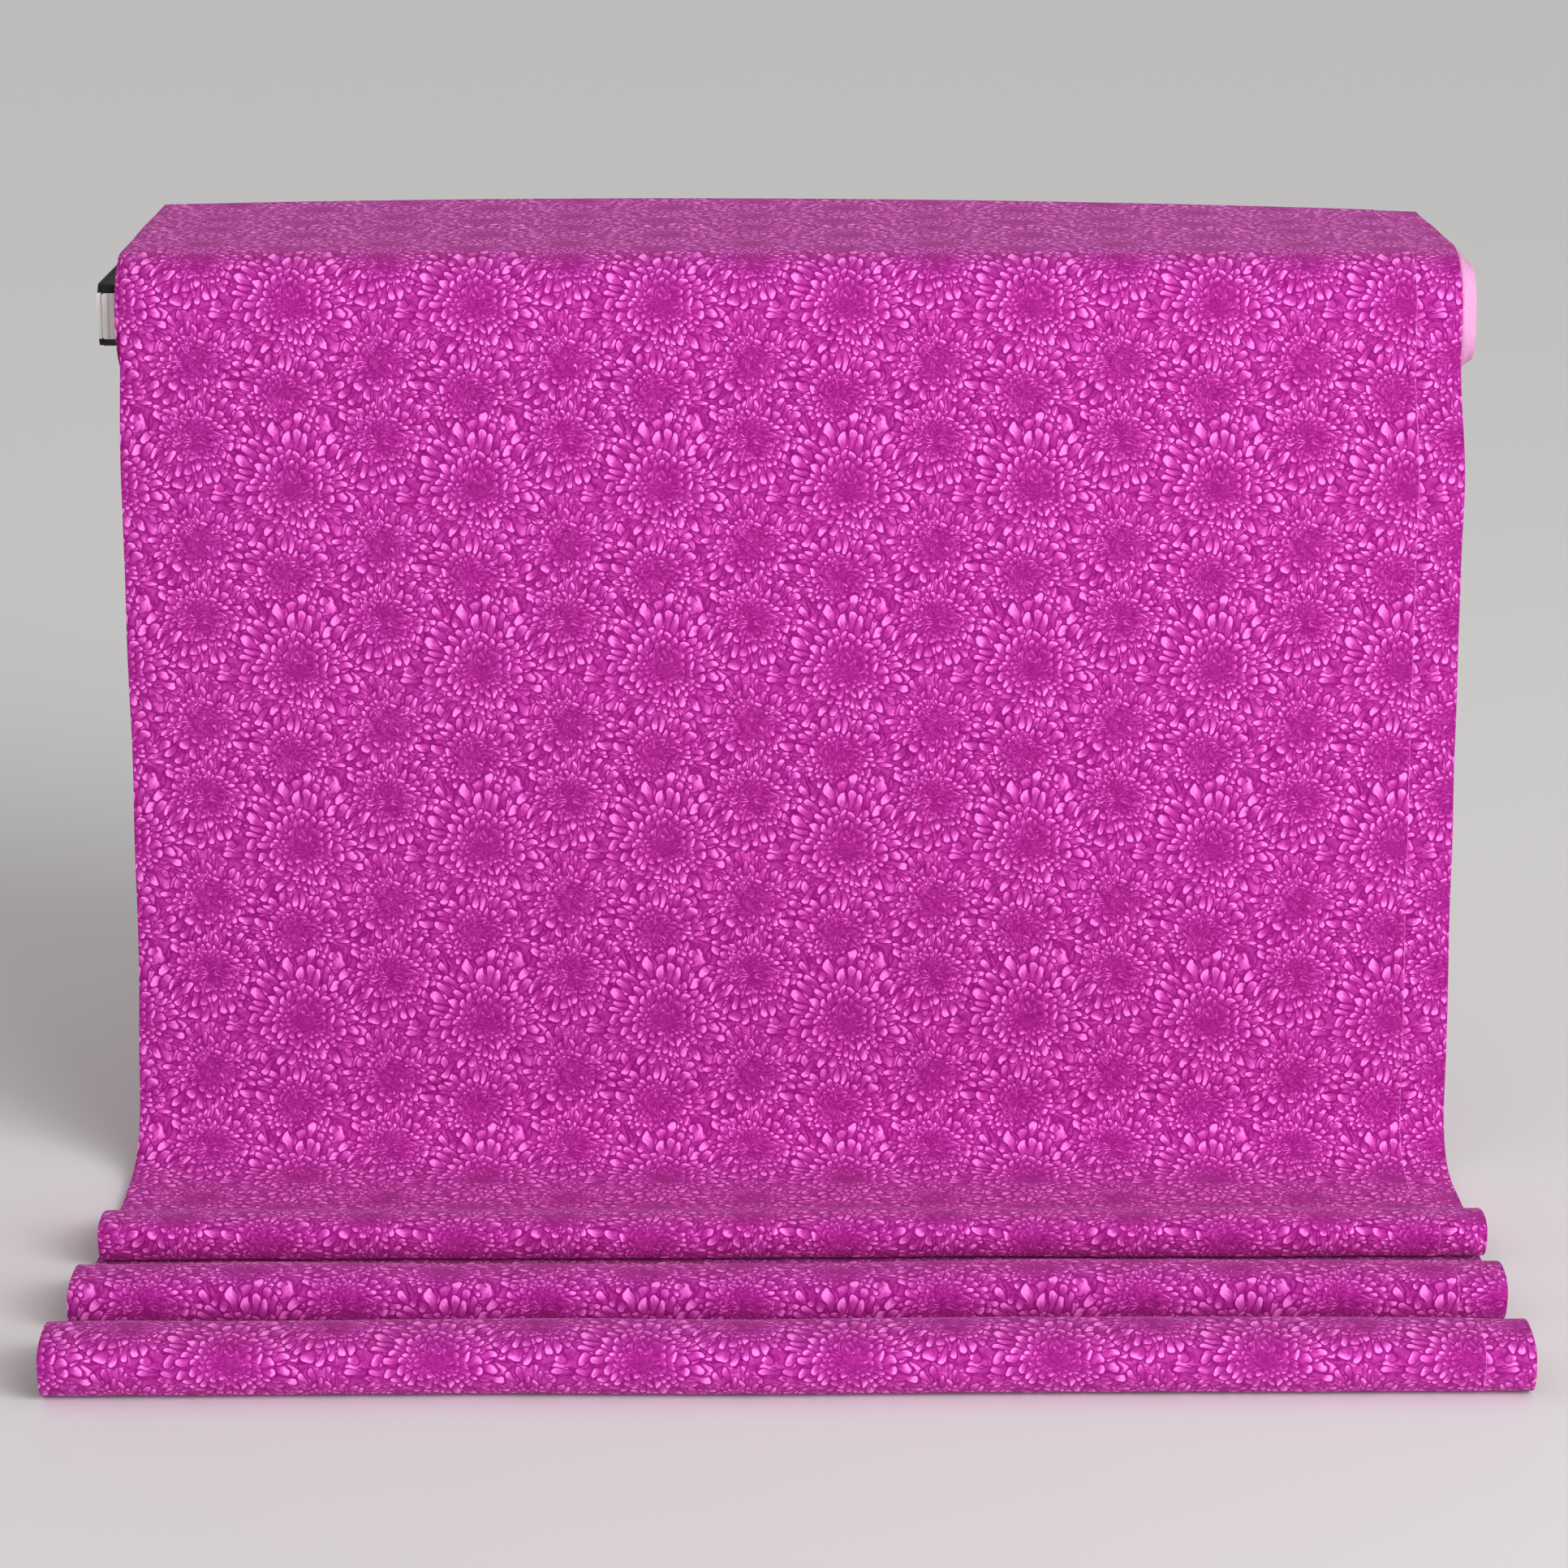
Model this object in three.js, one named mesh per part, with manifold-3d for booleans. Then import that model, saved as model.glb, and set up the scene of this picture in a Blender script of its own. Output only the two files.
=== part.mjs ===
// A flat bolt of printed quilting cotton, shown as a shop shows it. The cloth is folded in half
// lengthwise, so it is wound as two plies. It is wound round a flat board of folded paperboard,
// and its last turn runs over the top, hangs in front and lies in three folds on the floor.
//
// Millimetres. +X runs along the bolt, +Y to its back and +Z up. The origin is the centre of the
// flat underside of the winding, where the bolt rests on the shelf or table that carries it.

import * as THREE from 'three';
import { mergeVertices } from 'three/addons/utils/BufferGeometryUtils.js';
import Module from 'manifold-3d';

// Cloth
const clothWidth = 560;
const selvedgeStep = 19; // the outer ply stops this far short of the inner ply, at the right
const plyThickness = 0.5;
const clearance = 0.3; // between solids that lie against each other

// Board
const boardDepth = 177;
const boardThickness = 26;
const boardWall = 2;
const boardCorner = 4;
const leftOverhang = 8.8; // board beyond the cloth
const rightOverhang = 4.4;
const boardSlack = 1; // between the board and the first turn

// Winding
const turnPacks = 5;
const turnPackThickness = 1.74;

// End flaps, hinged on the board's top edges
const flapThickness = 1.6;
const flapSideInset = 1.5; // so that it also swings out between the winding's rounded corners
const tuckReach = 10;
const tuckThickness = 1.2;
const tuckSideMargin = 6; // inside the board's walls

// Corrugated spacer inside the board
const spacerThickness = 1.4;
const spacerWaves = 7;
const spacerEndMargin = 18;

// Labels and tape
const labelThickness = 0.25;
const labelMargin = 3.4; // board left bare above and below a label
const endLabelDepth = 120;
const edgeLabelLength = 24;
const tapeThickness = 0.2;
const tapeWidth = 48;
const tapeLength = 70;

// Hanging cloth and its folds
const dropHeight = 341; // underside of the bolt down to the floor
const sweepHeight = 42; // where the hanging cloth starts to curve forward, above the floor
const sweepReach = 60; // how far forward it has come when it meets the first fold
const foldUnder = 30; // cloth turned back under each fold
const folds = [
  { name: 'back', reach: 136, height: 17 },
  { name: 'middle', reach: 210, height: 16 },
  { name: 'front', reach: 288, height: 20 },
];

// Fineness of the round stretches
const cornerSteps = 10;
const curveSteps = 12;
const samePoint = 0.001;

// Worked out from the sizes above
const plyPair = 2 * plyThickness + clearance;
const lineInset = plyPair / 2; // outer face of the cloth to the line between its plies
const windingThickness = boardSlack + turnPacks * (turnPackThickness + clearance) + plyPair;
const boltHalfHeight = boardThickness / 2 + windingThickness;
const boltHalfDepth = boardDepth / 2 + windingThickness;
const boltFlatHalf = boltHalfDepth - boltHalfHeight;
const noseRadius = boltHalfHeight - lineInset;
const sheetLine = -boltHalfDepth + lineInset;
const floorLine = -dropHeight + lineInset;
const layerStep = plyPair + clearance; // one layer of doubled cloth on another
const clothLeft = -clothWidth / 2;
const clothRight = clothWidth / 2;
const boardLeft = clothLeft - leftOverhang;
const boardRight = clothRight + rightOverhang;

const group = new THREE.Group();

// Paint, paper and cloth as they come off the roll
function makeMaterial(color, roughness) {
  return new THREE.MeshStandardMaterial({ color, roughness, metalness: 0 });
}

const printedCotton = makeMaterial(0xb4359f, 0.85);
const innerCotton = makeMaterial(0xa23a92, 0.9);
const blackBoard = makeMaterial(0x1c1a1b, 0.75);
const greyBoard = makeMaterial(0x8d857c, 0.85);
const whitePaper = makeMaterial(0xeeebe6, 0.6);
const clearTape = makeMaterial(0xd8d2bf, 0.35);

const wasm = await Module();
wasm.setup();

function toSolid(geometry) {
  const bare = geometry.clone();
  bare.deleteAttribute('normal');
  bare.deleteAttribute('uv');
  const merged = mergeVertices(bare);
  return new wasm.Manifold(new wasm.Mesh({
    numProp: 3,
    vertProperties: Float32Array.from(merged.attributes.position.array),
    triVerts: Uint32Array.from(merged.index.array),
  }));
}

function joined(first, second) {
  const mesh = toSolid(first).add(toSolid(second)).getMesh();
  const geometry = new THREE.BufferGeometry();
  geometry.setAttribute('position', new THREE.BufferAttribute(mesh.vertProperties, 3));
  geometry.setIndex(new THREE.BufferAttribute(mesh.triVerts, 1));
  return geometry;
}

// Most sections are drawn in the Y-Z plane and run along X
const sectionBasis = new THREE.Matrix4().makeBasis(
  new THREE.Vector3(0, 1, 0),
  new THREE.Vector3(0, 0, 1),
  new THREE.Vector3(1, 0, 0),
);

function addMesh(name, geometry, material, parent = group) {
  const mesh = new THREE.Mesh(geometry, material);
  mesh.name = name;
  parent.add(mesh);
  return mesh;
}

function addSection(name, shape, fromX, toX, material, parent = group) {
  const geometry = new THREE.ExtrudeGeometry(shape, {
    depth: toX - fromX,
    bevelEnabled: false,
    curveSegments: cornerSteps,
  });
  const mesh = addMesh(name, geometry, material, parent);
  mesh.setRotationFromMatrix(sectionBasis);
  mesh.position.x = fromX;
  return mesh;
}

// Where an arc starts on the end of a line, the two points are one
function distinctPoints(path, steps) {
  const points = path.getPoints(steps);
  return points.filter((point, i) => i === 0 || point.distanceTo(points[i - 1]) > samePoint);
}

// A rectangle with rounded corners, centred on the section's own origin
function roundedRectangle(halfDepth, halfHeight, radius) {
  const path = new THREE.Path();
  const flatDepth = halfDepth - radius;
  const flatHeight = halfHeight - radius;
  path.moveTo(halfDepth, -flatHeight);
  path.lineTo(halfDepth, flatHeight);
  path.absarc(flatDepth, flatHeight, radius, 0, Math.PI / 2, false);
  path.lineTo(-flatDepth, halfHeight);
  path.absarc(-flatDepth, flatHeight, radius, Math.PI / 2, Math.PI, false);
  path.lineTo(-halfDepth, -flatHeight);
  path.absarc(-flatDepth, -flatHeight, radius, Math.PI, 1.5 * Math.PI, false);
  path.lineTo(flatDepth, -halfHeight);
  path.absarc(flatDepth, -flatHeight, radius, 1.5 * Math.PI, 2 * Math.PI, false);
  return distinctPoints(path, cornerSteps).slice(1);
}

function roundedTube(outer, inner) {
  const shape = new THREE.Shape(roundedRectangle(...outer));
  shape.holes.push(new THREE.Path(roundedRectangle(...inner)));
  return shape;
}

// The winding's section at a height above the board: its corners round off as it grows, until
// the last pack of turns is half round at the front and back
function windingSection(rise) {
  const lastRise = windingThickness - plyPair - clearance;
  const share = (rise - boardSlack) / (lastRise - boardSlack);
  const firstRadius = boardCorner + boardSlack;
  const lastRadius = boardThickness / 2 + lastRise;
  const radius = firstRadius + share * (lastRadius - firstRadius);
  return [boardDepth / 2 + rise, boardThickness / 2 + rise, radius];
}

function addTurnPack(index) {
  const innerRise = boardSlack + index * (turnPackThickness + clearance);
  const outerRise = innerRise + turnPackThickness;
  const shape = roundedTube(windingSection(outerRise), windingSection(innerRise));
  const mesh = addSection(`wound_turns_${index + 1}`, shape, clothLeft, clothRight, innerCotton);
  mesh.position.z = boltHalfHeight;
}

// The line between the two plies, one stretch for each part of the last turn
function lastTurnPath() {
  const path = new THREE.Path();
  path.moveTo(-boltFlatHalf, lineInset);
  path.lineTo(boltFlatHalf, lineInset);
  path.absarc(boltFlatHalf, boltHalfHeight, noseRadius, -Math.PI / 2, Math.PI / 2, false);
  return path;
}

function topPath() {
  const topLine = 2 * boltHalfHeight - lineInset;
  const path = new THREE.Path();
  path.moveTo(boltFlatHalf, topLine);
  path.lineTo(-boltFlatHalf, topLine);
  return path;
}

function nosePath() {
  const path = new THREE.Path();
  path.absarc(-boltFlatHalf, boltHalfHeight, noseRadius, Math.PI / 2, Math.PI, false);
  return path;
}

function dropPath() {
  const path = new THREE.Path();
  path.moveTo(sheetLine, boltHalfHeight);
  path.lineTo(sheetLine, sweepHeight - dropHeight);
  return path;
}

// Doubled cloth under a fold lies on the layers that run forward to the folds in front of it
function foldBase(index) {
  return floorLine + (folds.length - 1 - index) * layerStep;
}

function foldNose(index) {
  const base = foldBase(index);
  const crest = folds[index].height - dropHeight - lineInset;
  const radius = (crest - base) / 2;
  const centre = -boltHalfDepth - folds[index].reach + lineInset + radius;
  return { base, crest, radius, centre };
}

function sweepPath() {
  const base = foldBase(0);
  const start = sweepHeight - dropHeight;
  const endY = sheetLine - sweepReach;
  const path = new THREE.Path();
  path.moveTo(sheetLine, start);
  path.bezierCurveTo(sheetLine, (start + base) / 2, sheetLine - sweepReach / 3, base, endY, base);
  return path;
}

// A fold rises from the floor, rolls over its nose and turns back under itself. All but the
// front one then turn forward again to feed the next.
function foldPath(index) {
  const { base, crest, radius, centre } = foldNose(index);
  const last = index === folds.length - 1;
  const startY = index === 0 ? sheetLine - sweepReach : foldNose(index - 1).centre;
  const underEnd = centre + foldUnder;
  const middle = (startY + centre) / 2;
  const path = new THREE.Path();
  path.moveTo(startY, base);
  path.bezierCurveTo(middle, base, middle, crest, centre, crest);
  path.absarc(centre, base + radius, radius, Math.PI / 2, 1.5 * Math.PI, false);
  path.lineTo(underEnd, base);
  if (!last) {
    path.absarc(underEnd, base - layerStep / 2, layerStep / 2, Math.PI / 2, -Math.PI / 2, true);
    path.lineTo(centre, base - layerStep);
  }
  return path;
}

// One ply as a band that keeps its distance from the line between the plies. Its ends stop half
// a clearance short, so that two stretches never touch.
function plyBand(path, offset) {
  const points = distinctPoints(path, curveSteps);
  const count = points.length;
  const tangents = points.map((point, i) => {
    const before = points[Math.max(i - 1, 0)];
    const after = points[Math.min(i + 1, count - 1)];
    return after.clone().sub(before).normalize();
  });
  points[0].addScaledVector(tangents[0], clearance / 2);
  points[count - 1].addScaledVector(tangents[count - 1], -clearance / 2);
  const side = (distance) => points.map((point, i) => {
    const outward = new THREE.Vector2(tangents[i].y, -tangents[i].x);
    return point.clone().addScaledVector(outward, distance);
  });
  const outerFace = side(offset + plyThickness / 2);
  const innerFace = side(offset - plyThickness / 2);
  return new THREE.Shape([...outerFace, ...innerFace.reverse()]);
}

function addClothStretch(name, path) {
  const fromLine = (plyThickness + clearance) / 2;
  const outerRight = clothRight - selvedgeStep;
  addSection(`${name}_inner_ply`, plyBand(path, -fromLine), clothLeft, clothRight, innerCotton);
  addSection(`${name}_outer_ply`, plyBand(path, fromLine), clothLeft, outerRight, printedCotton);
}

// The board is a flat tube, and an end flap closes it at each end. Its group is centred on it.
const boardGroup = new THREE.Group();
boardGroup.position.z = boltHalfHeight;
group.add(boardGroup);

function addBoardTube() {
  const outer = [boardDepth / 2, boardThickness / 2, boardCorner];
  const inner = outer.map((size) => size - boardWall);
  const fromX = boardLeft + flapThickness + clearance;
  const toX = boardRight - flapThickness - clearance;
  addSection('board_wrap', roundedTube(outer, inner), fromX, toX, blackBoard, boardGroup);
}

// Zigzag strip that keeps the board's faces apart
function addSpacer() {
  const halfHeight = boardThickness / 2 - boardWall - clearance - spacerThickness;
  const halfDepth = boardDepth / 2 - boardWall - boardCorner;
  const turns = 2 * spacerWaves;
  const upper = [];
  const lower = [];
  for (let i = 0; i <= turns; i += 1) {
    const y = -halfDepth + (2 * halfDepth * i) / turns;
    const z = i % 2 === 0 ? -halfHeight : halfHeight;
    upper.push(new THREE.Vector2(y, z + spacerThickness));
    lower.push(new THREE.Vector2(y, z - spacerThickness));
  }
  const shape = new THREE.Shape([...lower, ...upper.reverse()]);
  const fromX = boardLeft + spacerEndMargin;
  const toX = boardRight - spacerEndMargin;
  addSection('board_spacer', shape, fromX, toX, greyBoard, boardGroup);
}

// The tuck stands off the bottom wall just enough to swing out past it
function tuckDrop() {
  const swing = boardThickness - boardWall - clearance;
  const reach = flapThickness + tuckReach;
  return Math.sqrt(swing * swing - reach * reach);
}

// A plate of nearly the board's own section closes the end, and a tuck runs into the board from
// it. side is -1 at the left end and 1 at the right.
function addEndFlap(name, side, endX) {
  const halfDepth = boardDepth / 2 - flapSideInset;
  const section = roundedRectangle(halfDepth, boardThickness / 2, boardCorner);
  const plate = new THREE.ExtrudeGeometry(new THREE.Shape(section), {
    depth: flapThickness,
    bevelEnabled: false,
  });
  plate.applyMatrix4(sectionBasis);
  plate.translate(side < 0 ? 0 : -flapThickness, 0, 0);
  const tuckDepth = boardDepth - 2 * (boardWall + tuckSideMargin);
  const tuckLength = flapThickness / 2 + tuckReach;
  const tuckBottom = boardThickness / 2 - tuckDrop();
  const tuck = new THREE.BoxGeometry(tuckLength, tuckDepth, tuckThickness);
  const tuckMiddle = flapThickness + tuckReach - tuckLength / 2;
  tuck.translate(-side * tuckMiddle, 0, tuckBottom + tuckThickness / 2);
  const mesh = addMesh(name, joined(plate, tuck), blackBoard, boardGroup);
  mesh.position.x = endX;
}

function addEndLabel(name, side, endX) {
  const height = boardThickness - 2 * labelMargin;
  const label = new THREE.BoxGeometry(labelThickness, endLabelDepth, height);
  const mesh = addMesh(name, label, whitePaper, boardGroup);
  mesh.position.x = endX + side * (clearance + labelThickness / 2);
}

// A label on the board's front edge, running in under the cloth
function addEdgeLabel(name, side, endX) {
  const height = boardThickness - 2 * labelMargin;
  const label = new THREE.BoxGeometry(edgeLabelLength, labelThickness, height);
  const mesh = addMesh(name, label, whitePaper, boardGroup);
  mesh.position.x = endX - side * (flapThickness + clearance + edgeLabelLength / 2);
  mesh.position.y = -boardDepth / 2 - clearance - labelThickness / 2;
}

// Tape that holds the start of the cloth down on the board
function addStartTape() {
  const tape = new THREE.BoxGeometry(tapeLength, tapeWidth, tapeThickness);
  const mesh = addMesh('start_tape', tape, clearTape, boardGroup);
  mesh.position.z = boardThickness / 2 + clearance + tapeThickness / 2;
}

for (let index = 0; index < turnPacks; index += 1) {
  addTurnPack(index);
}
addClothStretch('last_turn', lastTurnPath());
addClothStretch('top_cloth', topPath());
addClothStretch('nose_cloth', nosePath());
addClothStretch('hanging_cloth', dropPath());
addClothStretch('sweep_cloth', sweepPath());
folds.forEach((fold, index) => addClothStretch(`${fold.name}_fold`, foldPath(index)));
addBoardTube();
addSpacer();
addStartTape();
for (const [name, side, endX] of [['left', -1, boardLeft], ['right', 1, boardRight]]) {
  addEndFlap(`${name}_end_flap`, side, endX);
  addEndLabel(`${name}_end_label`, side, endX);
  addEdgeLabel(`${name}_edge_label`, side, endX);
}

export default group;
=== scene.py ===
import math

import bmesh
import bpy
import numpy as np
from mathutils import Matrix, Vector, noise


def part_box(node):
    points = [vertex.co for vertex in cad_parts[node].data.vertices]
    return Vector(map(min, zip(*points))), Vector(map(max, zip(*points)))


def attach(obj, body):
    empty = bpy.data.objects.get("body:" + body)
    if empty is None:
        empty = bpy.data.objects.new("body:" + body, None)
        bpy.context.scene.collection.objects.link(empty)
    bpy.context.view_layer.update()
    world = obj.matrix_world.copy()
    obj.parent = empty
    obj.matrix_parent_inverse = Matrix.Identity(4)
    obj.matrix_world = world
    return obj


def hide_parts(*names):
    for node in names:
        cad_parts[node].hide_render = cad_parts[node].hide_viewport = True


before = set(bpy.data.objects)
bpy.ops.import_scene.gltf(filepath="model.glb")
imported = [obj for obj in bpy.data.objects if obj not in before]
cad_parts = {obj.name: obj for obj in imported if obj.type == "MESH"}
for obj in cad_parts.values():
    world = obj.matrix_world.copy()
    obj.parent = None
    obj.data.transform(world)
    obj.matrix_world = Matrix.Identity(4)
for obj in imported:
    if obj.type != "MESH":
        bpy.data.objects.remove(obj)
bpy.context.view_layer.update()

scene = bpy.context.scene

# sizes that the frame gives, in metres
windLow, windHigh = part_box("last_turn_inner_ply")
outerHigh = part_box("last_turn_outer_ply")[1]
boardLow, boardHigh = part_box("board_wrap")
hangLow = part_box("hanging_cloth_outer_ply")[0]
plyNodes = [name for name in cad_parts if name.endswith("_ply")]
packNodes = [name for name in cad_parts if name.startswith("wound_turns")]

clothLeft = windLow.x
clothRight = windHigh.x
outerPlyRight = outerHigh.x
sheetFace = hangLow.y
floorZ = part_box("front_fold_outer_ply")[0].z
boltTop = outerHigh.z
boltBack = outerHigh.y
boardMiddle = (boardLow.z + boardHigh.z) / 2
boardHalfHeight = (boardHigh.z - boardLow.z) / 2
boardHalfDepth = (boardHigh.y - boardLow.y) / 2
fullRise = boltBack - boardHalfDepth

# the camera stands before the sheet and looks a little down
view = {
    "lensMm": 112.8,
    "sensorMm": 36.0,
    "aboveFloor": 0.660,
    "beforeSheet": 2.0217,
    "side": -0.003,
    "pitchDeg": 13.65,
}

camera = bpy.data.objects.new("camera", bpy.data.cameras.new("camera"))
scene.collection.objects.link(camera)
camera.data.lens = view["lensMm"]
camera.data.sensor_width = view["sensorMm"]
camera.data.clip_end = 60
camera.location = (view["side"], sheetFace - view["beforeSheet"], floorZ + view["aboveFloor"])
camera.rotation_euler = (math.radians(90 - view["pitchDeg"]), 0, 0)
scene.camera = camera


# a socket that can be written into sums
class Wire:
    def __init__(self, tree, socket=None):
        self.tree = tree
        self.socket = socket

    def node(self, kind, settings=None, inputs=None, out=0):
        made = self.tree.nodes.new("ShaderNode" + kind)
        for name, value in (settings or {}).items():
            if name == "stops":
                self.setStops(made.color_ramp, value)
            else:
                setattr(made, name, value)
        for name, value in (inputs or {}).items():
            if isinstance(value, Wire):
                self.tree.links.new(value.socket, made.inputs[name])
            else:
                made.inputs[name].default_value = value
        return Wire(self.tree, made.outputs[out])

    def setStops(self, ramp, stops):
        while len(ramp.elements) < len(stops):
            ramp.elements.new(1.0)
        for element, (place, colour) in zip(ramp.elements, stops):
            element.position = place
            element.color = (*colour, 1)

    def maths(self, operation, *others):
        return self.node("Math", {"operation": operation}, dict(enumerate((self, *others))))

    def __add__(self, other):
        return self.maths("ADD", other)

    __radd__ = __add__

    def __sub__(self, other):
        return self.maths("SUBTRACT", other)

    def __rsub__(self, other):
        return self.node("Math", {"operation": "SUBTRACT"}, {0: other, 1: self})

    def __mul__(self, other):
        return self.maths("MULTIPLY", other)

    __rmul__ = __mul__

    def __truediv__(self, other):
        return self.maths("DIVIDE", other)

    def __abs__(self):
        return self.maths("ABSOLUTE")

    def ease(self, low, high):
        limits = {"Value": self, "From Min": low, "From Max": high}
        return self.node("MapRange", {"interpolation_type": "SMOOTHSTEP"}, limits)

    def parts(self):
        split = self.tree.nodes.new("ShaderNodeSeparateXYZ")
        self.tree.links.new(self.socket, split.inputs[0])
        return [Wire(self.tree, socket) for socket in split.outputs]

    def toward(self, other, share):
        return self.node("Mix", {"data_type": "FLOAT"}, {0: share, 2: self, 3: other})

    def tint(self, first, second):
        return self.node("Mix", {"data_type": "RGBA"}, {0: self, 6: first, 7: second}, out=2)


def newMaterial(name, **fixed):
    material = bpy.data.materials.new(name)
    material.use_nodes = True
    tree = material.node_tree
    surface = tree.nodes["Principled BSDF"]
    for socket, value in fixed.items():
        surface.inputs[socket.replace("_", " ")].default_value = value
    return material, tree, surface


def feed(tree, surface, **wires):
    for socket, wire in wires.items():
        tree.links.new(wire.socket, surface.inputs[socket.replace("_", " ")])


# the print: four chrysanthemum heads in every repeat, across and along the cloth in metres.
# lean below 0 draws a head's lower petals long, above 0 its upper ones.
printing = {
    "repeat": (0.0774, 0.0772),
    "middle": (0.1486, 0.0655),
    "under": {"at": (0.0012, 0.0), "reach": 8.0, "rings": 4.0,
              "lean": 0.10, "slim": 0.80, "seed": 71.0},
    "heads": [
        {"at": (0.0378, 0.0228), "reach": 6.5, "rings": 5.2,
         "lean": -0.22, "slim": 1.0, "seed": 11.0},
        {"at": (-0.0030, 0.0377), "reach": 5.9, "rings": 5.4,
         "lean": 0.08, "slim": 0.95, "seed": 37.0},
        {"at": (0.0375, -0.0220), "reach": 6.2, "rings": 5.2,
         "lean": -0.18, "slim": 1.0, "seed": 23.0},
        {"at": (0.0, 0.0), "reach": 6.5, "rings": 5.2,
         "lean": 0.14, "slim": 0.92, "seed": 53.0},
    ],
    "warp": (0.0009, 0.0004),      # metres that long and short waves move the print
    "brushScale": 620.0,
    "brushRough": 0.40,            # how far the brush frays a petal's rim
    "brushTone": 0.34,
    "patchScale": 150.0,
    "patchTone": 0.20,
    "ground": (0.36, 0.16),        # tone between the petals, and how much the patches change it
    "underTone": (0.80, 0.10),     # contrast and lift of the layer under the heads
    "stops": [
        (0.00, (0.225, 0.0040, 0.140)),
        (0.25, (0.355, 0.0135, 0.232)),
        (0.50, (0.520, 0.0400, 0.358)),
        (0.75, (0.760, 0.1080, 0.572)),
        (1.00, (0.985, 0.2550, 0.790)),
    ],
}

# petals: places and lengths in ring widths, widths in parts of a petal's share of its ring
petal = {
    "firstRing": 0.0105,           # metres: rings are narrow inside this and widen beyond it
    "waves": ((3, 0.26), (7, 0.18)),   # how often round a head its rings bend, and how far
    "first": 11,                   # petals in the first ring, and more in each ring after it
    "more": 4.9,
    "ragged": 2.0,                 # rings over which a head's rim thins out
    "place": (0.46, 0.36),         # least, and the part that chance adds
    "halfLength": (0.58, 0.12),
    "halfWidth": (0.36, 0.09),
    "sideways": 0.14,
    "flare": (0.84, 0.24),
    "rim": (0.76, 1.02),           # from its middle line, where a petal fades into its outline
    "outline": (0.98, 1.46),       # and where the outline fades into what is below
    "young": (0.0020, 0.0135),     # metres from the middle over which petals gain their contrast
    "youngTone": 0.13,
    "body": (0.27, 0.18, 0.16),    # tone at the root, more toward the tip, chance
    "tip": (0.34, 0.46),
    "stripe": (0.15, 0.34, 0.12),  # off the middle, half width, tone
    "outlineTone": 0.06,
}


# moves the print's place so that a point lies at 0 and the pattern repeats
def wrapped(base, place, middle, low, high):
    moved = base.node("VectorMath", {"operation": "SUBTRACT"}, {0: place, 1: (*middle, 0)})
    return base.node("VectorMath", {"operation": "WRAP"}, {0: moved, 1: (*high, 1), 2: (*low, -1)})


# draws one head over what is below it. Each ring's tips lie over the ring outside it.
def flowerHead(base, place, rough, head, below):
    middle = [printing["middle"][i] + head["at"][i] for i in (0, 1)]
    half = [side / 2 for side in printing["repeat"]]
    x, y, _ = wrapped(base, place, middle, [-side for side in half], half).parts()
    radius = (x * x + y * y).maths("SQRT")
    drawn = (radius + y * head["lean"]).maths("MAXIMUM", 0.0001)
    around = y.maths("ARCTAN2", x)
    rings = (drawn / petal["firstRing"] + 1).maths("LOGARITHM", math.e) * head["rings"]
    for often, far in petal["waves"]:
        rings = rings + (around * often + head["seed"]).maths("SINE") * far
    heading = around / (2 * math.pi)
    young = drawn.ease(*petal["young"])
    tone = below
    for ring in (rings.maths("FLOOR"), rings.maths("FLOOR") - 1):
        petals = (ring * petal["more"] + petal["first"]).maths("FLOOR")
        seeded = {"W": ring + head["seed"]}
        ringTurn = base.node("TexWhiteNoise", {"noise_dimensions": "1D"}, seeded)
        turns = heading * petals + ringTurn
        number = turns.maths("FLOOR")
        which = {0: number.maths("FLOORED_MODULO", petals), 1: ring, 2: head["seed"]}
        key = base.node("CombineXYZ", {}, which)
        first, second, third = base.node("TexWhiteNoise", {}, {"Vector": key}, out=1).parts()
        fringe = (head["reach"] - ring - first * petal["ragged"]).ease(0.0, 0.20)
        shown = fringe * (ring + 1).ease(0.0, 0.5)
        slide = rings - ring - petal["place"][0] - second * petal["place"][1]
        slide = slide / (petal["halfLength"][0] + third * petal["halfLength"][1])
        side = (turns - number - 0.5 + (third - 0.5) * petal["sideways"]) * head["slim"]
        halfWidth = petal["halfWidth"][0] + first * petal["halfWidth"][1]
        side = side / (halfWidth * (petal["flare"][0] + slide * petal["flare"][1]))
        distance = (side * side + slide * slide * slide * slide).maths("SQRT") + rough
        inside = (1 - distance.ease(*petal["rim"])) * shown
        outline = (1 - distance.ease(*petal["outline"])) * shown
        tip = slide.ease(0.0, 0.85) * (0.70 + distance.ease(0.15, 0.80) * 0.30)
        root, toTip, chance = petal["body"]
        bodyTone = root + slide.ease(-1.0, 0.5) * toTip + (second - 0.5) * chance
        off, wide, stripeTone = petal["stripe"]
        stripe = (1 - abs(side - off).ease(0.02, wide)) * slide.ease(-1.2, 0.2) * stripeTone
        petalTone = bodyTone + tip * (petal["tip"][0] + third * petal["tip"][1]) + stripe
        petalTone = petal["youngTone"] + (petalTone - petal["youngTone"]) * (0.30 + young * 0.70)
        tone = tone.toward(petal["outlineTone"], outline * (0.50 + young * 0.45))
        tone = tone.toward(petalTone, inside)
    return tone


# buds between the heads, each turned its own way, sizes in parts of a bud's room
bud = {
    "room": 0.0044,
    "halfLength": 0.56,
    "halfWidth": 0.30,
    "flare": 0.07,
    "turn": 12.6,
    "missing": (0.36, 0.40),
    "body": (0.40, 0.18),
    "tip": (0.16, 0.36),
    "outline": (0.10, 0.9),        # tone, strength
}


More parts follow.
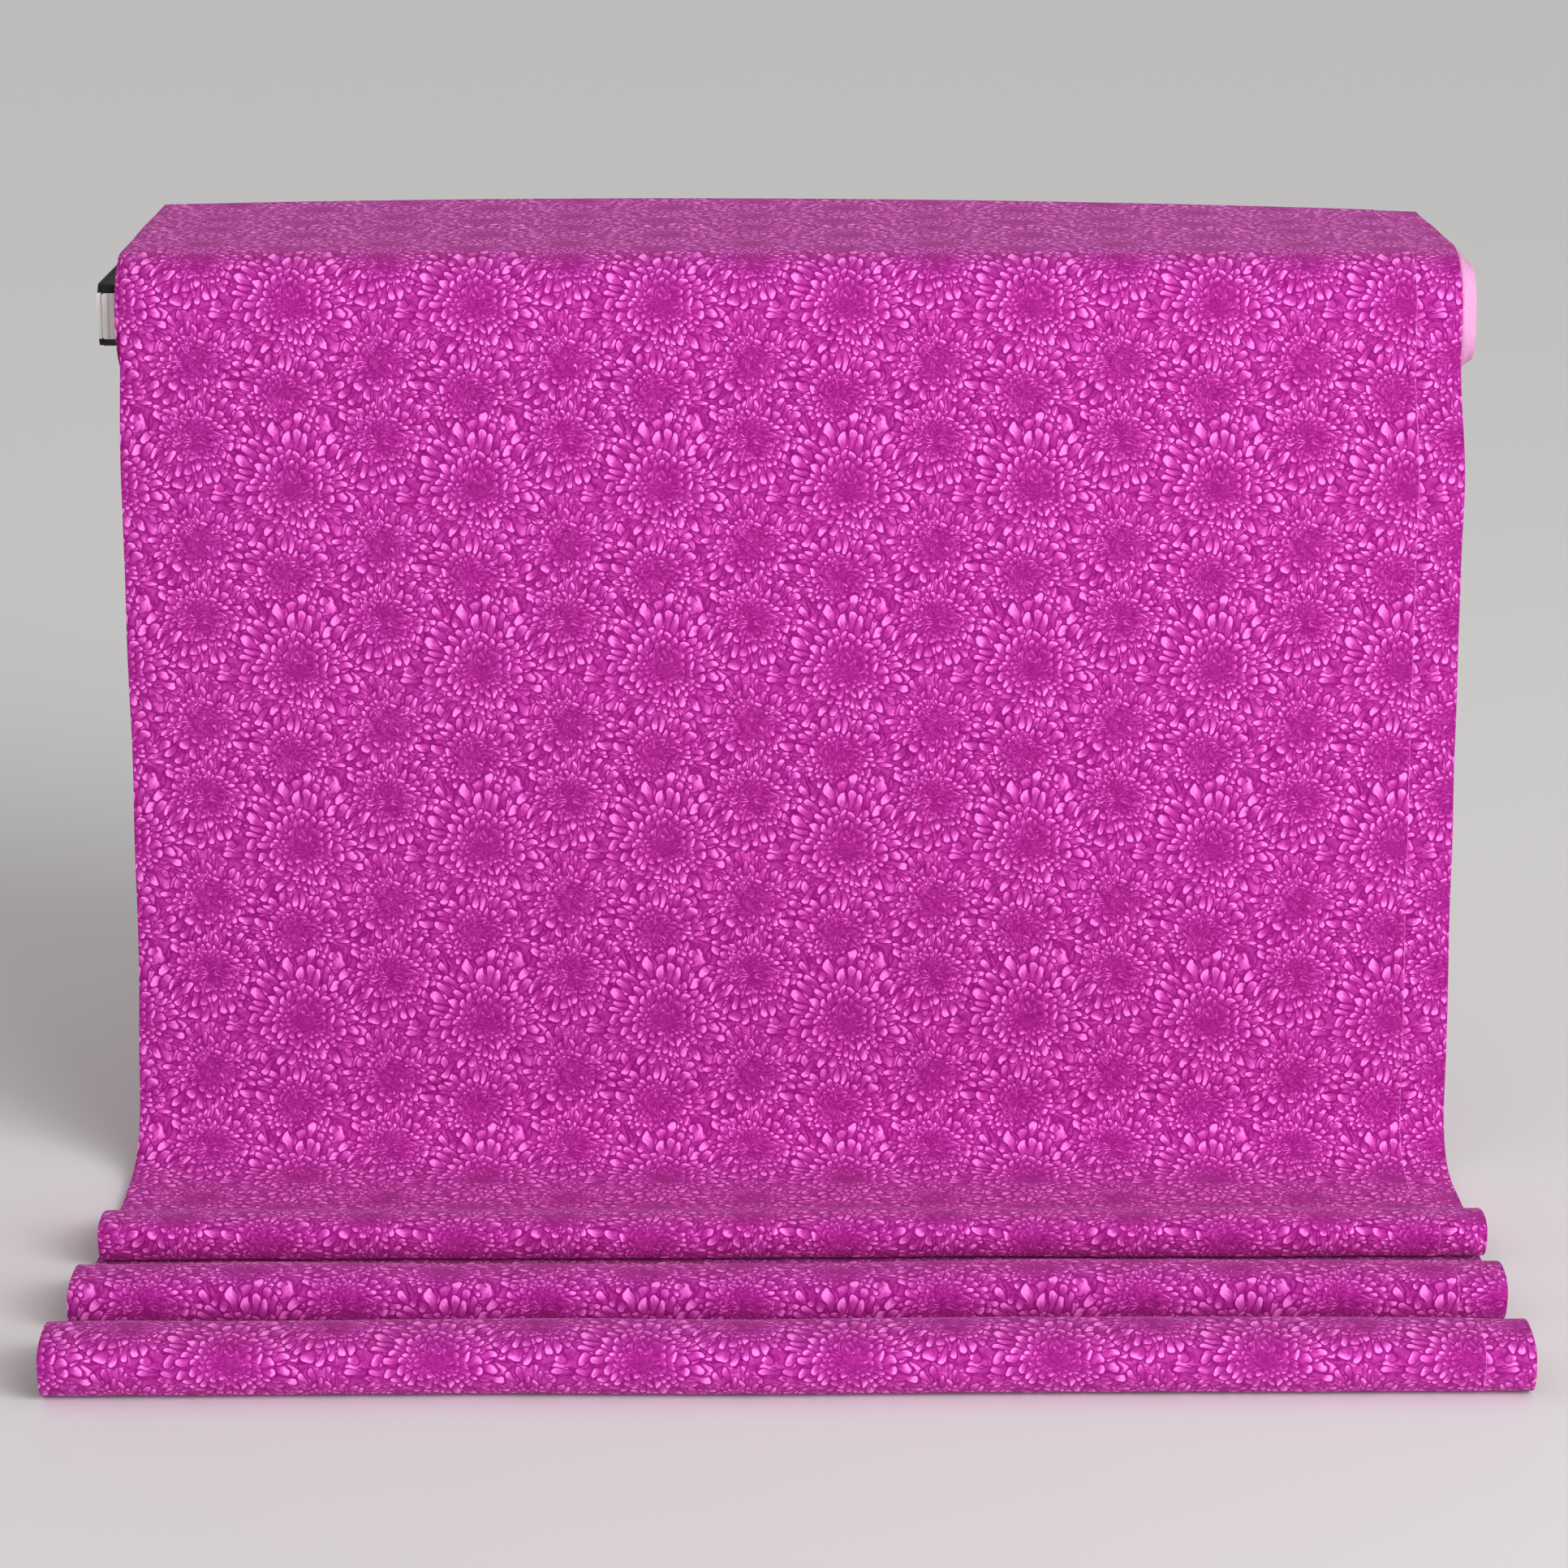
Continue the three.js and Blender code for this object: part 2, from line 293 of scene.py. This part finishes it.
# draws the buds in a repeat whose own edges lie under the heads
def drawBuds(base, place, rough, below):
    corner = (printing["middle"][0], printing["middle"][1] + printing["heads"][2]["at"][1])
    local = wrapped(base, place, corner, (0, 0), printing["repeat"])
    size = bud["room"]
    asked = {"Vector": local, "Scale": 1 / size}
    chance = base.node("TexVoronoi", {"voronoi_dimensions": "2D"}, asked, out=1)
    centre = base.node("TexVoronoi", {"voronoi_dimensions": "2D"}, asked, out=2)
    arm = base.node("VectorMath", {"operation": "SUBTRACT"}, {0: local, 1: centre})
    red, green, blue = chance.parts()
    angle = red * bud["turn"]
    turned = base.node("VectorRotate", {"rotation_type": "Z_AXIS"}, {"Vector": arm, "Angle": angle})
    x, y, _ = turned.parts()
    slide = y / (size * bud["halfLength"])
    side = x / (slide * (size * bud["flare"]) + size * bud["halfWidth"])
    distance = (side * side + slide * slide).maths("SQRT") + rough
    budTone = bud["body"][0] + green * bud["body"][1]
    budTone = budTone + slide.ease(-0.1, 0.7) * (bud["tip"][0] + blue * bud["tip"][1])
    shown = green.ease(*bud["missing"])
    inside = (1 - distance.ease(0.82, 1.0)) * shown
    outline = (1 - distance.ease(1.0, 1.55)) * shown
    return below.toward(bud["outline"][0], outline * bud["outline"][1]).toward(budTone, inside)


cotton = {
    "sheenTint": (1.0, 0.62, 0.90, 1),
    "edgeTint": (0.90, 0.50, 0.76, 1),
    "edgePale": 0.75,
    "edgeWidth": (0.0001, 0.0009),
    "threads": 8500,               # radians of weave in a metre
    "slubScale": 420.0,
    "bumpHeight": 0.00018,
    "roughness": (0.76, 0.14),
}


def printedCotton():
    material, tree, surface = newMaterial(
        "printedCotton", Roughness=0.82, Sheen_Weight=0.09, Sheen_Roughness=0.5,
        Specular_IOR_Level=0.06, Sheen_Tint=cotton["sheenTint"],
    )
    base = Wire(tree)
    place = base.node("Attribute", {"attribute_name": "clothPlace"}, out=1)
    u, v, edge = place.parts()
    onceU, onceV = [2 * math.pi / side for side in printing["repeat"]]
    waveA = (u * (3 * onceU) + v * (2 * onceV)).maths("SINE")
    waveB = (u * (2 * onceU) - v * (5 * onceV)).maths("SINE")
    waveC = (v * (9 * onceV) + u * (7 * onceU)).maths("SINE")
    waveD = (u * (11 * onceU) - v * (6 * onceV)).maths("SINE")
    long, short = printing["warp"]
    warped = base.node("CombineXYZ", {}, {
        0: u + waveA * long + waveC * short,
        1: v + waveB * long + waveD * short,
    })
    flat = {"noise_dimensions": "2D"}
    fine = {"Vector": place, "Scale": printing["brushScale"], "Detail": 3.0}
    coarse = {"Vector": place, "Scale": printing["patchScale"], "Detail": 1.0}
    brush = base.node("TexNoise", flat, fine)
    patch = base.node("TexNoise", flat, coarse)
    rough = (brush - 0.5) * printing["brushRough"]
    tone = printing["ground"][0] + patch * printing["ground"][1]
    contrast, lift = printing["underTone"]
    tone = flowerHead(base, warped, rough, printing["under"], tone) * contrast + lift
    tone = drawBuds(base, warped, rough, tone)
    for head in printing["heads"]:
        tone = flowerHead(base, warped, rough, head, tone)
    tone = tone + (brush - 0.5) * printing["brushTone"] + (patch - 0.5) * printing["patchTone"]
    colour = base.node("ValToRGB", {"stops": printing["stops"]}, {0: tone})
    pale = cotton["edgePale"] - edge.ease(*cotton["edgeWidth"]) * cotton["edgePale"]
    dyed = pale.tint(colour, cotton["edgeTint"])
    weave = (u * cotton["threads"]).maths("SINE") * (v * cotton["threads"]).maths("SINE")
    slub = base.node("TexNoise", {}, {"Vector": place, "Scale": cotton["slubScale"], "Detail": 4.0})
    height = weave * 0.5 + slub * 1.6
    threads = {"Strength": 0.25, "Distance": cotton["bumpHeight"], "Height": height}
    bump = base.node("Bump", {}, threads)
    least, more = cotton["roughness"]
    feed(tree, surface, Base_Color=dyed, Roughness=least + slub * more, Normal=bump)
    return material


board = {
    "black": (0.010, 0.009, 0.010, 1),
    "worn": (0.075, 0.068, 0.064, 1),
    "wear": 0.5,                   # how far a scuffed place takes the worn tint
    "scuffed": (0.56, 0.74),
    "greyDark": (0.20, 0.17, 0.14, 1),
    "greyPale": (0.36, 0.32, 0.27, 1),
    "fibreDepth": 0.0002,
}


def boardBlack():
    material, tree, surface = newMaterial("boardBlack", Specular_IOR_Level=0.35)
    base = Wire(tree)
    spot = base.node("TexCoord", {}, out="Object")
    fibre = base.node("TexNoise", {}, {"Vector": spot, "Scale": 350.0, "Detail": 5.0})
    patchy = {"Vector": spot, "Scale": 60.0, "Detail": 8.0, "Roughness": 0.7}
    scuff = base.node("TexNoise", {}, patchy)
    worn = scuff.ease(*board["scuffed"])
    colour = (worn * board["wear"]).tint(board["black"], board["worn"])
    depth = {"Strength": 0.25, "Distance": board["fibreDepth"], "Height": fibre}
    bump = base.node("Bump", {}, depth)
    feed(tree, surface, Base_Color=colour, Roughness=0.50 + fibre * 0.25, Normal=bump)
    return material


def boardGrey():
    material, tree, surface = newMaterial("boardGrey")
    base = Wire(tree)
    spot = base.node("TexCoord", {}, out="Object")
    fibre = base.node("TexNoise", {}, {"Vector": spot, "Scale": 240.0, "Detail": 6.0})
    colour = fibre.tint(board["greyDark"], board["greyPale"])
    depth = {"Strength": 0.3, "Distance": board["fibreDepth"], "Height": fibre}
    bump = base.node("Bump", {}, depth)
    feed(tree, surface, Base_Color=colour, Roughness=0.78 + fibre * 0.15, Normal=bump)
    return material


paper = {
    "white": (0.88, 0.87, 0.84, 1),
    "soiled": (0.74, 0.72, 0.67, 1),
    "lineFromEnd": 0.0042,
    "lineTint": (0.42, 0.42, 0.43, 1),
    "lineShare": 0.55,
}


# white paper, with one grey rule near each end of the board
def paperWhite():
    material, tree, surface = newMaterial("paperWhite", Specular_IOR_Level=0.4)
    base = Wire(tree)
    spot = base.node("TexCoord", {}, out="Object")
    x, y, z = spot.parts()
    fibre = base.node("TexNoise", {}, {"Vector": spot, "Scale": 500.0, "Detail": 4.0})
    soil = base.node("TexNoise", {}, {"Vector": spot, "Scale": 45.0, "Detail": 3.0})
    plain = soil.ease(0.45, 0.8).tint(paper["white"], paper["soiled"])
    line = 1 - abs(abs(x) - (abs(clothLeft) + paper["lineFromEnd"])).ease(0.0003, 0.0007)
    colour = (line * paper["lineShare"]).tint(plain, paper["lineTint"])
    bump = base.node("Bump", {}, {"Strength": 0.12, "Distance": 0.0001, "Height": fibre})
    feed(tree, surface, Base_Color=colour, Roughness=0.45 + fibre * 0.25, Normal=bump)
    return material


tape = {"amber": (0.58, 0.52, 0.38, 1), "pale": (0.74, 0.70, 0.58, 1)}


def tapeClear():
    material, tree, surface = newMaterial("tapeClear", Specular_IOR_Level=0.6)
    base = Wire(tree)
    spot = base.node("TexCoord", {}, out="Object")
    cloudy = base.node("TexNoise", {}, {"Vector": spot, "Scale": 120.0, "Detail": 3.0})
    colour = cloudy.tint(tape["amber"], tape["pale"])
    feed(tree, surface, Base_Color=colour, Roughness=0.2 + cloudy * 0.2)
    return material


cottonFinish = printedCotton()
blackFinish = boardBlack()
greyFinish = boardGrey()
paperFinish = paperWhite()
tapeFinish = tapeClear()
print("materials made")

cloth = {
    "ply": 0.00026,
    "boardSlack": 0.0012,     # air between the board and the first turn
    "firstCorner": 0.0024,    # corner radius of the first turn
    "turns": 20,
    "acrossSteps": 68,        # columns of the hanging cloth
    "edgeWander": 0.0009,
    "windWander": 0.0015,
    "selvedgeReach": 0.0040,  # how far right the turns inside lie, at the right end and at the left
    "foldReach": 0.0010,
    "crown": 0.0041,          # how far the top stands up at its highest
    "crownAt": -0.05,
    "crownFall": 0.0545,      # metres per metre squared away from there
    "printStep": 0.0285,      # how far the inner ply's print is off the outer one's
}

# each fold: how far forward of the sheet, how high, its highest point, its nose and how far right
folds = [
    {"reach": 0.1365, "height": 0.0188, "peakBack": 0.011, "noseBack": 0.012, "shift": 0.0002},
    {"reach": 0.2105, "height": 0.0204, "peakBack": 0.017, "noseBack": 0.012, "shift": -0.0018},
    {"reach": 0.2885, "height": 0.0242, "peakBack": 0.020, "noseBack": 0.013, "shift": -0.0020},
]
foldShape = {
    "noseHigh": 0.66,       # share of the fold's height
    "askew": 0.0022,        # nearer by this at the left end, further off at the right
    "waveReach": 0.0016,    # long and short waves of the fold's front and of its height
    "fineReach": 0.0004,
    "waveHeight": 0.0013,
    "fineHeight": 0.0004,
}

# where the sheet starts to sweep forward, meets the floor and runs up into the first fold
sweep = {"startHigh": 0.036, "touch": 0.044, "valley": 0.059}

# the cloth tucked back under each fold, its step from layer to layer and its lift off the floor
under = {"length": 0.030, "layer": 0.0008, "lift": 0.0002}

# edges: how far they draw in, and the places along the run where that starts and ends
edges = {
    "sheetLeft": 0.0016,
    "sheetDraws": (0.02, 0.16),
    "sheetEases": (0.24, 0.33),
    "sheetRight": 0.0011,
    "rightDraws": (0.01, 0.08),
    "noseLeft": 0.0018,
    "noseRight": 0.0022,
    "noseDraws": (-0.075, -0.035),
    "noseEases": (0.005, 0.07),
    "foldAt": [0.40, 0.49, 0.60, 0.74],
}

# points of one turn on its flats, round its corners and on its sides
flatSteps = 12
arcSteps = 9
sideSteps = 2
loopCount = 2 * flatSteps + 4 * arcSteps + 2 * sideSteps

# where on a turn the cloth leaves it to hang, and the room that two plies take up
noseShare = (2 * flatSteps + 3 * arcSteps + sideSteps) / loopCount
lastTurn = cloth["turns"] + noseShare
pair = (fullRise - cloth["boardSlack"]) / (lastTurn + 1)


def smoothStep(low, high, value):
    t = np.clip((value - low) / (high - low), 0, 1)
    return t * t * (3 - 2 * t)


def ripple(a, b, seed):
    return noise.noise(Vector((a, b, seed)))


# the winding's section at a rise above the board: it rounds off as it grows
def loopPoints(rise):
    halfDepth = boardHalfDepth + rise
    halfHeight = boardHalfHeight + rise
    share = min(rise / (fullRise - 2 * pair), 1)
    fullCorner = boardHalfHeight + fullRise
    corner = cloth["firstCorner"] + share * (fullCorner - cloth["firstCorner"])
    corner = min(corner, halfHeight - 1e-5)
    flat = halfDepth - corner
    side = halfHeight - corner
    points = [(-flat + 2 * flat * i / flatSteps, -halfHeight) for i in range(flatSteps)]
    corners = [(flat, -side, -90), (flat, side, 0), (-flat, side, 90), (-flat, -side, 180)]
    for number, (cy, cz, start) in enumerate(corners):
        for i in range(arcSteps):
            angle = math.radians(start + 90 * i / arcSteps)
            points.append((cy + corner * math.cos(angle), cz + corner * math.sin(angle)))
        if number == 1:
            points += [(flat - 2 * flat * i / flatSteps, halfHeight) for i in range(flatSteps)]
        elif number != 3:
            sign = 1 if number == 0 else -1
            points += [(sign * halfDepth, sign * side * (2 * i / sideSteps - 1))
                       for i in range(sideSteps)]
    return np.array(points) + np.array([0, boardMiddle])


# the line between the plies along the spiral, from one turn to another, a point per loop step
def spiralLine(fromStep, toStep):
    line = []
    for step in range(fromStep, toStep + 1):
        rise = cloth["boardSlack"] + pair * (0.5 + step / loopCount)
        line.append(loopPoints(rise)[step % loopCount])
    return np.array(line)


def bezier(points, count):
    t = np.linspace(0, 1, count + 1)[1:, None]
    p0, p1, p2, p3 = (np.array(p) for p in points)
    return (1 - t) ** 3 * p0 + 3 * (1 - t) ** 2 * t * p1 + 3 * (1 - t) * t * t * p2 + t ** 3 * p3


def straight(start, end, count):
    t = np.linspace(0, 1, count + 1)[1:, None]
    return np.array(start) * (1 - t) + np.array(end) * t


lastTurnLine = spiralLine(cloth["turns"] * loopCount, int(round(lastTurn * loopCount)))


# the whole free run of cloth in the y-z plane, at one place across the bolt
def runLine(x):
    wave = [ripple(x / 0.11, k * 3.1, 7.7) for k in range(8)]
    fine = [ripple(x / 0.035, k * 5.3, 2.3) for k in range(8)]
    sheetLine = sheetFace + pair / 2
    sweepTop = floorZ + sweep["startHigh"] + 0.004 * wave[0]
    lowest = floorZ + pair / 2 + under["lift"]
    bases = [lowest + under["layer"] * (len(folds) - 1 - i) for i in range(len(folds))]
    valleyY = sheetLine - sweep["valley"] + 0.0015 * wave[1]
    touchY = sheetLine - sweep["touch"]
    pieces = [lastTurnLine, straight((sheetLine, boardMiddle), (sheetLine, sweepTop), 58)]
    bend = [(sheetLine, sweepTop), (sheetLine, bases[0] + 0.008), (sheetLine - 0.016, bases[0]),
            (touchY, bases[0] + 0.0003)]
    pieces.append(bezier(bend, 18))
    pieces.append(straight(bend[3], (valleyY, bases[0]), 4))
    start = (valleyY, bases[0])
    for i, fold in enumerate(folds):
        reach = fold["reach"] - foldShape["askew"] * x / clothRight
        reach += foldShape["waveReach"] * wave[2 + i] + foldShape["fineReach"] * fine[2 + i]
        height = fold["height"] + foldShape["waveHeight"] * wave[5 + i % 3]
        height += foldShape["fineHeight"] * fine[i]
        noseY = sheetLine - reach
        crest = floorZ + height - pair / 2
        peak = (noseY + fold["peakBack"], crest)
        noseZ = bases[i] + (crest - bases[i]) * foldShape["noseHigh"]
        rise = start[0] - peak[0]
        ramp = [start, (start[0] - 0.42 * rise, start[1]), (peak[0] + 0.40 * rise, crest), peak]
        over = [peak, (noseY + 0.30 * fold["peakBack"], crest),
                (noseY, noseZ + 0.62 * (crest - noseZ)), (noseY, noseZ)]
        bottom = (noseY + fold["noseBack"], bases[i])
        below = [(noseY, noseZ), (noseY, noseZ - 0.6 * (noseZ - bases[i])),
                 (bottom[0] - 0.6 * fold["noseBack"], bases[i]), bottom]
        backEnd = (bottom[0] + under["length"], bases[i])
        pieces += [bezier(ramp, 20), bezier(over, 11), bezier(below, 9)]
        pieces.append(straight(bottom, backEnd, 6))
        if i + 1 < len(folds):
            radius = under["layer"] / 2
            turn = [(backEnd[0] + radius * math.sin(a), backEnd[1] - radius + radius * math.cos(a))
                    for a in np.linspace(0, math.pi, 7)[1:]]
            start = (noseY + 0.4 * fold["noseBack"], bases[i + 1])
            pieces += [np.array(turn), straight(turn[-1], start, 7)]
    return np.concatenate(pieces)


def lengthsAlong(line):
    steps = np.linalg.norm(np.diff(line, axis=0), axis=1)
    return np.concatenate([[0], np.cumsum(steps)])


# outward is to the right of the way the cloth runs
def outwardOf(line):
    ahead = np.empty_like(line)
    ahead[1:-1] = line[2:] - line[:-2]
    ahead[0] = line[1] - line[0]
    ahead[-1] = line[-1] - line[-2]
    ahead /= np.linalg.norm(ahead, axis=1)[:, None]
    return np.stack([ahead[:, 1], -ahead[:, 0]], axis=1)


# the top of the winding is crowned, highest left of its middle, and settles at the selvedge side
def settle(x, y, z):
    above = smoothStep(boardHigh.z, boltTop, z)
    toBack = smoothStep(-boltBack, boltBack, y)
    crown = cloth["crown"] - cloth["crownFall"] * (x - cloth["crownAt"]) ** 2
    return z + above * toBack * crown


# a band of doubled cloth: two plies joined by the fold at the left, as one closed mesh.
# Its vertices keep the print's place and how far the cut edge is.
def doubledBand(name, columns, lineOf, places, widthShift, paleness, edgeOffset):
    half = pair / 2
    ply = cloth["ply"]
    innerX = [clothLeft + (clothRight - clothLeft) * c for c in columns]
    outerX = [clothLeft + (outerPlyRight - clothLeft) * c for c in columns]
    profile = [(x, half, "outer") for x in reversed(outerX)]
    profile += [(clothLeft - half * math.sin(a), half * math.cos(a), "fold")
                for a in (math.pi / 4, math.pi / 2, 3 * math.pi / 4)]
    profile += [(x, -half, "inner") for x in innerX]
    profile += [(x, ply - half, "inner") for x in reversed(innerX)]
    profile += [(x, half - ply, "outer") for x in outerX]
    grids = []
    marks = []
    for x, offset, side in profile:
        line = lineOf(x)
        face = line + outwardOf(line) * offset
        shiftX = widthShift(x, places)
        xs = x + shiftX
        grids.append(np.stack([xs, face[:, 0], settle(xs, face[:, 0], face[:, 1])], axis=1))
        across = x - clothLeft
        toEdge = ((clothRight if side == "inner" else outerPlyRight) - x) * paleness + edgeOffset
        if side == "inner":
            across = -across - cloth["printStep"]
        level = np.ones(len(line))
        marks.append(np.stack([level * across, places, level * toEdge], axis=1))
    count = len(profile)
    stations = len(places)
    vertices = np.stack(grids, axis=1).reshape(-1, 3)
    values = np.stack(marks, axis=1).reshape(-1, 3)
    faces = []
    for i in range(stations - 1):
        for j in range(count):
            k = (j + 1) % count
            faces.append((i * count + j, (i + 1) * count + j, (i + 1) * count + k, i * count + k))
    many = len(columns)
    innerStart = many + 3
    innerBack = innerStart + many
    outerBack = innerBack + many
    for base, flip in ((0, False), ((stations - 1) * count, True)):
        ring = []
        for j in range(many - 1):
            outerTop, innerTop = outerBack + many - 1 - j, innerBack + many - 1 - j
            ring.append((j, j + 1, outerTop - 1, outerTop))
            ring.append((innerStart + j, innerStart + j + 1, innerTop - 1, innerTop))
        atFold = (innerStart, innerBack + many - 1, outerBack)
        ring.append((many - 1, many, many + 1, many + 2, *atFold))
        for face in ring:
            face = [base + index for index in face]
            faces.append(tuple(reversed(face)) if flip else tuple(face))
    mesh = bpy.data.meshes.new(name)
    mesh.from_pydata(vertices.tolist(), [], faces)
    attribute = mesh.attributes.new("clothPlace", "FLOAT_VECTOR", "POINT")
    attribute.data.foreach_set("vector", values.astype(np.float32).ravel())
    mesh.shade_smooth()
    mesh.set_sharp_from_angle(angle=math.radians(50))
    mesh.validate()
    piece = bpy.data.objects.new(name, mesh)
    scene.collection.objects.link(piece)
    mesh.materials.append(cottonFinish)
    return piece


runPlaces = lengthsAlong(runLine(0.0))
dropStart = runPlaces[len(lastTurnLine)]
runPlaces = runPlaces - dropStart


# the edges of the run wander a little, draw in down the sheet and follow each fold's own shift
def runShift(x, places):
    share = x / clothRight
    left, right = min(share, 0), max(share, 0)
    down = smoothStep(*edges["sheetDraws"], places) * (1 - smoothStep(*edges["sheetEases"], places))
    nose = smoothStep(*edges["noseDraws"], places) * (1 - smoothStep(*edges["noseEases"], places))
    drawn = edges["sheetRight"] * smoothStep(*edges["rightDraws"], places) * right
    drawn = drawn - edges["sheetLeft"] * down * left
    drawn = drawn - nose * (edges["noseLeft"] * left + edges["noseRight"] * right)
    shift = np.interp(places, edges["foldAt"], [0] + [fold["shift"] for fold in folds])
    wander = np.array([ripple(p / 0.05, share * 2, 4.4) for p in places]) * cloth["edgeWander"]
    return drawn + shift + wander * share * share


# each turn of the winding lies a little further left or right than the one under it
def windShift(x, places):
    turn = places / 0.43    # metres in a turn, about
    wander = np.array([ripple(t * 1.7, 0.3, 9.1) + 0.5 * ripple(t * 6.3, 0.7, 3.2) for t in turn])
    deep = smoothStep(0.5, 11, -turn)
    reach = cloth["selvedgeReach"] if x > 0 else cloth["foldReach"]
    return cloth["windWander"] * wander * deep + reach * deep * smoothStep(0.2, 0.28, abs(x))


spiral = spiralLine(0, cloth["turns"] * loopCount)
spiralPlaces = lengthsAlong(spiral)
windLength = float(spiralPlaces[-1])

winding = doubledBand(
    "winding", [0, 0.004, 0.02, 0.5, 0.93, 0.965, 0.985, 1.0], lambda x: spiral,
    spiralPlaces - windLength, windShift, paleness=0.25, edgeOffset=0,
)
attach(winding, "wound_cloth")
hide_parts(*packNodes)
print("winding made,", round(windLength, 2), "m in", cloth["turns"], "turns")

columns = [i / cloth["acrossSteps"] for i in range(cloth["acrossSteps"] + 1)]
hanging = doubledBand(
    "hangingCloth", columns, runLine, runPlaces, runShift, paleness=1, edgeOffset=0.0005,
)
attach(hanging, "wound_cloth")
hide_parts(*plyNodes)


def finishPiece(name, build, finish, body, node):
    mesh = bpy.data.meshes.new(name)
    build.to_mesh(mesh)
    build.free()
    mesh.shade_smooth()
    mesh.set_sharp_from_angle(angle=math.radians(35))
    mesh.materials.append(finish)
    piece = bpy.data.objects.new(name, mesh)
    scene.collection.objects.link(piece)
    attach(piece, body)
    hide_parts(node)
    return piece


# a paperboard or paper plate with soft edges and corners, from its lowest and highest corners
def softPlate(name, low, high, cornerAxis, corner, edge, finish, body, node):
    build = bmesh.new()
    bmesh.ops.create_cube(build, size=1)
    for vertex in build.verts:
        vertex.co = [(low[i] + high[i]) / 2 + vertex.co[i] * (high[i] - low[i]) for i in range(3)]
    along = [e for e in build.edges
             if abs((e.verts[0].co - e.verts[1].co)[cornerAxis]) > 1e-6]
    if corner:
        bmesh.ops.bevel(build, geom=along, offset=corner, segments=6, affect="EDGES", profile=0.5)
    rims = [e for e in build.edges if len(e.link_faces) == 2 and e.calc_face_angle(0) > 1.2]
    bmesh.ops.bevel(build, geom=rims, offset=edge, segments=2, affect="EDGES", profile=0.5)
    return finishPiece(name, build, finish, body, node)


for nodeName, finish in (("board_wrap", blackFinish), ("board_spacer", greyFinish),
                         ("start_tape", tapeFinish), ("left_end_flap", blackFinish),
                         ("right_end_flap", blackFinish)):
    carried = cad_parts[nodeName]
    carried.data.materials.clear()
    carried.data.materials.append(finish)

label = {"thick": 0.00025, "gap": 0.0003, "returned": 0.0016, "corner": 0.0012, "edge": 0.00006}


# the label on an end flap turns round the flap's front edge
def endLabel(name, side, sideName):
    low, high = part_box(f"{sideName}_end_label")
    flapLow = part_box(f"{sideName}_end_flap")[0]
    outer = low.x if side < 0 else high.x
    inner = outer - side * label["thick"]
    returned = outer - side * (label["thick"] + label["gap"] + label["returned"])
    front = flapLow.y - label["gap"]
    foremost = front - label["thick"]
    plan = [(outer, high.y), (outer, foremost), (returned, foremost), (returned, front),
            (inner, front), (inner, high.y)]
    build = bmesh.new()
    face = build.faces.new([build.verts.new((x, y, low.z)) for x, y in plan])
    raised = bmesh.ops.extrude_face_region(build, geom=[face])["geom"]
    for vertex in (v for v in raised if isinstance(v, bmesh.types.BMVert)):
        vertex.co.z = high.z
    bmesh.ops.recalc_face_normals(build, faces=build.faces)
    upright = [e for e in build.edges if abs(e.verts[0].co.z - e.verts[1].co.z) > 0.01]
    turned = [e for e in upright if abs(e.verts[0].co.x - outer) < 1e-6 and e.verts[0].co.y < 0]
    bmesh.ops.bevel(build, geom=turned, offset=label["edge"] * 3, segments=3,
                    affect="EDGES", profile=0.5)
    body, node = f"{sideName}_flap", f"{sideName}_end_label"
    return finishPiece(name, build, paperFinish, body, node)


for sideName, side in (("left", -1), ("right", 1)):
    endLabel(f"{sideName}EndLabel", side, sideName)
    edgeNode = f"{sideName}_edge_label"
    low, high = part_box(edgeNode)
    softPlate(f"{sideName}EdgeLabel", low, high, 1, label["corner"], label["edge"],
              paperFinish, "board", edgeNode)
print("board and labels made")

# floor, light and backdrop
room = {
    "floorHalf": 14.0,
    "tone": (0.80, 0.79, 0.785, 1),
    "worldTint": (1.0, 0.99, 0.98, 1),
    "world": 0.46,
}
floorMesh = bpy.data.meshes.new("floor")
half = room["floorHalf"]
corners = [(-half, -half), (half, -half), (half, half), (-half, half)]
floorMesh.from_pydata([(x, y, floorZ) for x, y in corners], [], [(0, 1, 2, 3)])
floor = bpy.data.objects.new("floor", floorMesh)
scene.collection.objects.link(floor)
floorFinish, _, floorSurface = newMaterial(
    "floorPale", Roughness=0.6, Specular_IOR_Level=0.3,
)
floorSurface.inputs["Base Color"].default_value = room["tone"]
floorMesh.materials.append(floorFinish)

scene.world = bpy.data.worlds.new("studio")
scene.world.use_nodes = True
backdrop = scene.world.node_tree.nodes["Background"]
backdrop.inputs["Color"].default_value = room["worldTint"]
backdrop.inputs["Strength"].default_value = room["world"]

# a sun's size is its angle and its power is in watts per square metre
lookAt = Vector((0, -0.1, -0.1))
lamps = [
    {"name": "skyLight", "kind": "SUN", "at": (0.9, -1.2, 0.66),
     "size": math.radians(40), "watts": 1.25},
    {"name": "keyLight", "kind": "AREA", "at": (1.9, -1.95, 0.70),
     "size": 1.6, "watts": 45},
]
for lamp in lamps:
    data = bpy.data.lights.new(lamp["name"], lamp["kind"])
    data.energy = lamp["watts"]
    if lamp["kind"] == "SUN":
        data.angle = lamp["size"]
    else:
        data.size = lamp["size"]
    light = bpy.data.objects.new(lamp["name"], data)
    scene.collection.objects.link(light)
    light.location = lamp["at"]
    light.rotation_euler = (lookAt - Vector(lamp["at"])).to_track_quat("-Z", "Y").to_euler()

scene.view_settings.view_transform = "Standard"
print("floor and lights set")
